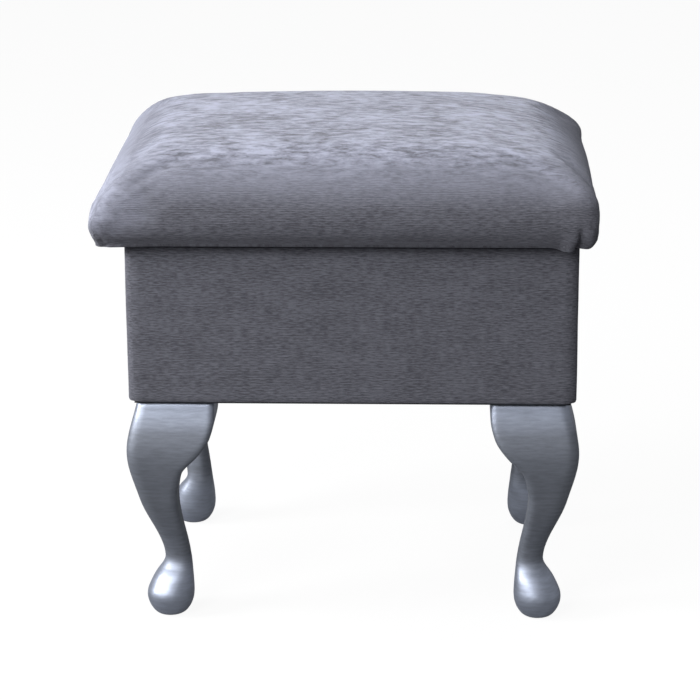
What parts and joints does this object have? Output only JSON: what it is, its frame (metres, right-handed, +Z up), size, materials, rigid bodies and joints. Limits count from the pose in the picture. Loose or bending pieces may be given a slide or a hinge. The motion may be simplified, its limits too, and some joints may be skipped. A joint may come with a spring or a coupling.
{
  "type": "upholstered storage stool",
  "caption": "Grey chenille storage stool: padded rectangular lid hinged to a fabric-covered box on silver-painted cabriole legs with pad feet.",
  "frame": {"origin": "on the floor, under the middle of the box", "axes": "+Z up, -Y towards the front, +X to the right of someone facing the front"},
  "size_m": [0.458, 0.36, 0.4578],
  "materials": {
    "chenille": "matte",
    "silver_paint": "satin",
    "fibreboard": "matte",
    "lining_cloth": "matte",
    "dust_cloth": "matte",
    "foam": "matte",
    "wadding": "matte",
    "zinc_steel": "satin",
    "hinge_steel": "satin"
  },
  "bodies": {
    "base": {"box_cover": "chenille", "leg_front_left": "silver_paint", "leg_front_right": "silver_paint", "leg_rear_left": "silver_paint", "leg_rear_right": "silver_paint", "front_panel": "fibreboard", "back_panel": "fibreboard", "left_panel": "fibreboard", "right_panel": "fibreboard", "base_board": "fibreboard", "box_lining": "lining_cloth", "floor_liner": "lining_cloth", "dust_cover": "dust_cloth", "leg_hanger_bolts": "zinc_steel", "tee_nuts": "zinc_steel", "panel_screws": "zinc_steel", "base_screws": "zinc_steel", "hinge_left_box_leaf": "hinge_steel", "hinge_left_pin": "hinge_steel", "hinge_right_box_leaf": "hinge_steel", "hinge_right_pin": "hinge_steel", "hinge_box_screws": "hinge_steel"},
    "lid": {"lid_board": "fibreboard", "lid_foam": "foam", "lid_wadding": "wadding", "lid_cover": "chenille", "lid_lining": "lining_cloth", "hinge_left_lid_leaf": "hinge_steel", "hinge_right_lid_leaf": "hinge_steel", "hinge_lid_screws": "hinge_steel"}
  },
  "joints": [
    {"name": "lid_hinge", "type": "hinge", "parent": "base", "child": "lid", "pos_m": [0, 0.1588, 0.3673], "axis": [-1, 0, 0], "range_deg": [0, 110]}
  ]
}
